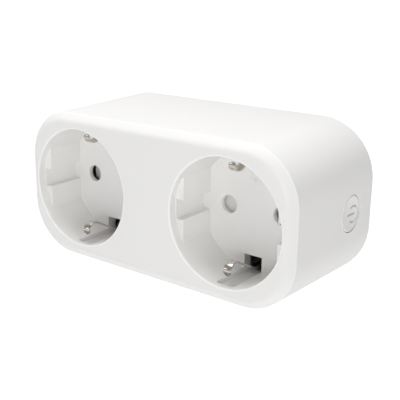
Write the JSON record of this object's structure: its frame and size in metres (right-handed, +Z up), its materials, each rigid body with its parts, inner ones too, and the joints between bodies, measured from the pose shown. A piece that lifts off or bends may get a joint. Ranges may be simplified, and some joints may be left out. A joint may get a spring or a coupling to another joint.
{
  "type": "double smart plug",
  "caption": "Plug-in adapter for one earthed wall socket with two earthed sockets in front, an internal radio-switched relay for each, and a push button on one end.",
  "frame": {"origin": "centre of the rear plug's end face, between the two pins", "axes": "+Y along the pins into the wall, +X along the housing to the button end, +Z up"},
  "size_m": [0.1082, 0.0826, 0.0518],
  "materials": {
    "white_plastic": "satin moulded white",
    "inner_plastic": "matt moulded off-white",
    "nickel": "nickel-plated brass, slightly warm",
    "brass": "plain pressed brass",
    "steel": "zinc-plated steel",
    "circuit_board": "green solder mask",
    "black_parts": "matt black moulding",
    "blue_parts": "blue moulded case",
    "yellow_parts": "yellow tape and moulding",
    "light_guide": "milky translucent"
  },
  "bodies": {
    "housing": {"front_panel": "white_plastic", "body_shell": "white_plastic", "rear_cover": "white_plastic", "live_pin": "nickel", "neutral_pin": "nickel", "plug_earth_strip_top": "nickel", "plug_earth_strip_bottom": "nickel", "cover_screw_1": "steel", "cover_screw_2": "steel", "cover_screw_3": "steel", "cover_screw_4": "steel", "earth_strap_left": "brass", "shutter_spring_left": "steel", "contact_carrier_left": "inner_plastic", "live_contact_left": "brass", "neutral_contact_left": "brass", "earth_strap_right": "brass", "shutter_spring_right": "steel", "contact_carrier_right": "inner_plastic", "live_contact_right": "brass", "neutral_contact_right": "brass", "earth_busbar": "brass", "main_board": "circuit_board", "live_terminal": "brass", "neutral_terminal": "brass", "relay_left": "blue_parts", "relay_right": "blue_parts", "transformer": "yellow_parts", "input_capacitor": "black_parts", "output_capacitor": "black_parts", "bridge_rectifier": "black_parts", "fuse_resistor": "inner_plastic", "varistor": "blue_parts", "current_shunt": "steel", "wifi_board": "black_parts", "wifi_shield": "steel", "switch_body": "black_parts", "button_board": "circuit_board", "status_led": "light_guide"},
    "button": {"button_cap": "white_plastic", "button_light_guide": "light_guide", "switch_plunger": "yellow_parts"},
    "shutter_left": {"shutter_left": "inner_plastic"},
    "shutter_right": {"shutter_right": "inner_plastic"},
    "clip_left_top": {"earth_clip_left_top": "nickel"},
    "clip_left_bottom": {"earth_clip_left_bottom": "nickel"},
    "clip_right_top": {"earth_clip_right_top": "nickel"},
    "clip_right_bottom": {"earth_clip_right_bottom": "nickel"}
  },
  "joints": [
    {"name": "button_press", "type": "slide", "parent": "housing", "child": "button", "axis": [-1, 0, 0], "range_m": [0, 0.0005], "stiffness_N_per_m": 3000},
    {"name": "shutter_left_turn", "type": "hinge", "parent": "housing", "child": "shutter_left", "pos_m": [-0.0292, -0.043, 0], "axis": [0, 1, 0], "range_deg": [0, 40], "stiffness_Nm_per_rad": 0.01, "deforming": ["shutter_spring_left"]},
    {"name": "shutter_right_turn", "type": "hinge", "parent": "housing", "child": "shutter_right", "pos_m": [0.0292, -0.043, 0], "axis": [0, 1, 0], "range_deg": [0, 40], "stiffness_Nm_per_rad": 0.01, "deforming": ["shutter_spring_right"]},
    {"name": "clip_left_top_flex", "type": "hinge", "parent": "housing", "child": "clip_left_top", "pos_m": [-0.0292, -0.0365, 0.0189], "axis": [-1, 0, 0], "range_deg": [0, 3.5], "stiffness_Nm_per_rad": 0.4},
    {"name": "clip_left_bottom_flex", "type": "hinge", "parent": "housing", "child": "clip_left_bottom", "pos_m": [-0.0292, -0.0365, -0.0189], "axis": [1, 0, 0], "range_deg": [0, 3.5], "stiffness_Nm_per_rad": 0.4},
    {"name": "clip_right_top_flex", "type": "hinge", "parent": "housing", "child": "clip_right_top", "pos_m": [0.0292, -0.0365, 0.0189], "axis": [-1, 0, 0], "range_deg": [0, 3.5], "stiffness_Nm_per_rad": 0.4},
    {"name": "clip_right_bottom_flex", "type": "hinge", "parent": "housing", "child": "clip_right_bottom", "pos_m": [0.0292, -0.0365, -0.0189], "axis": [1, 0, 0], "range_deg": [0, 3.5], "stiffness_Nm_per_rad": 0.4}
  ]
}
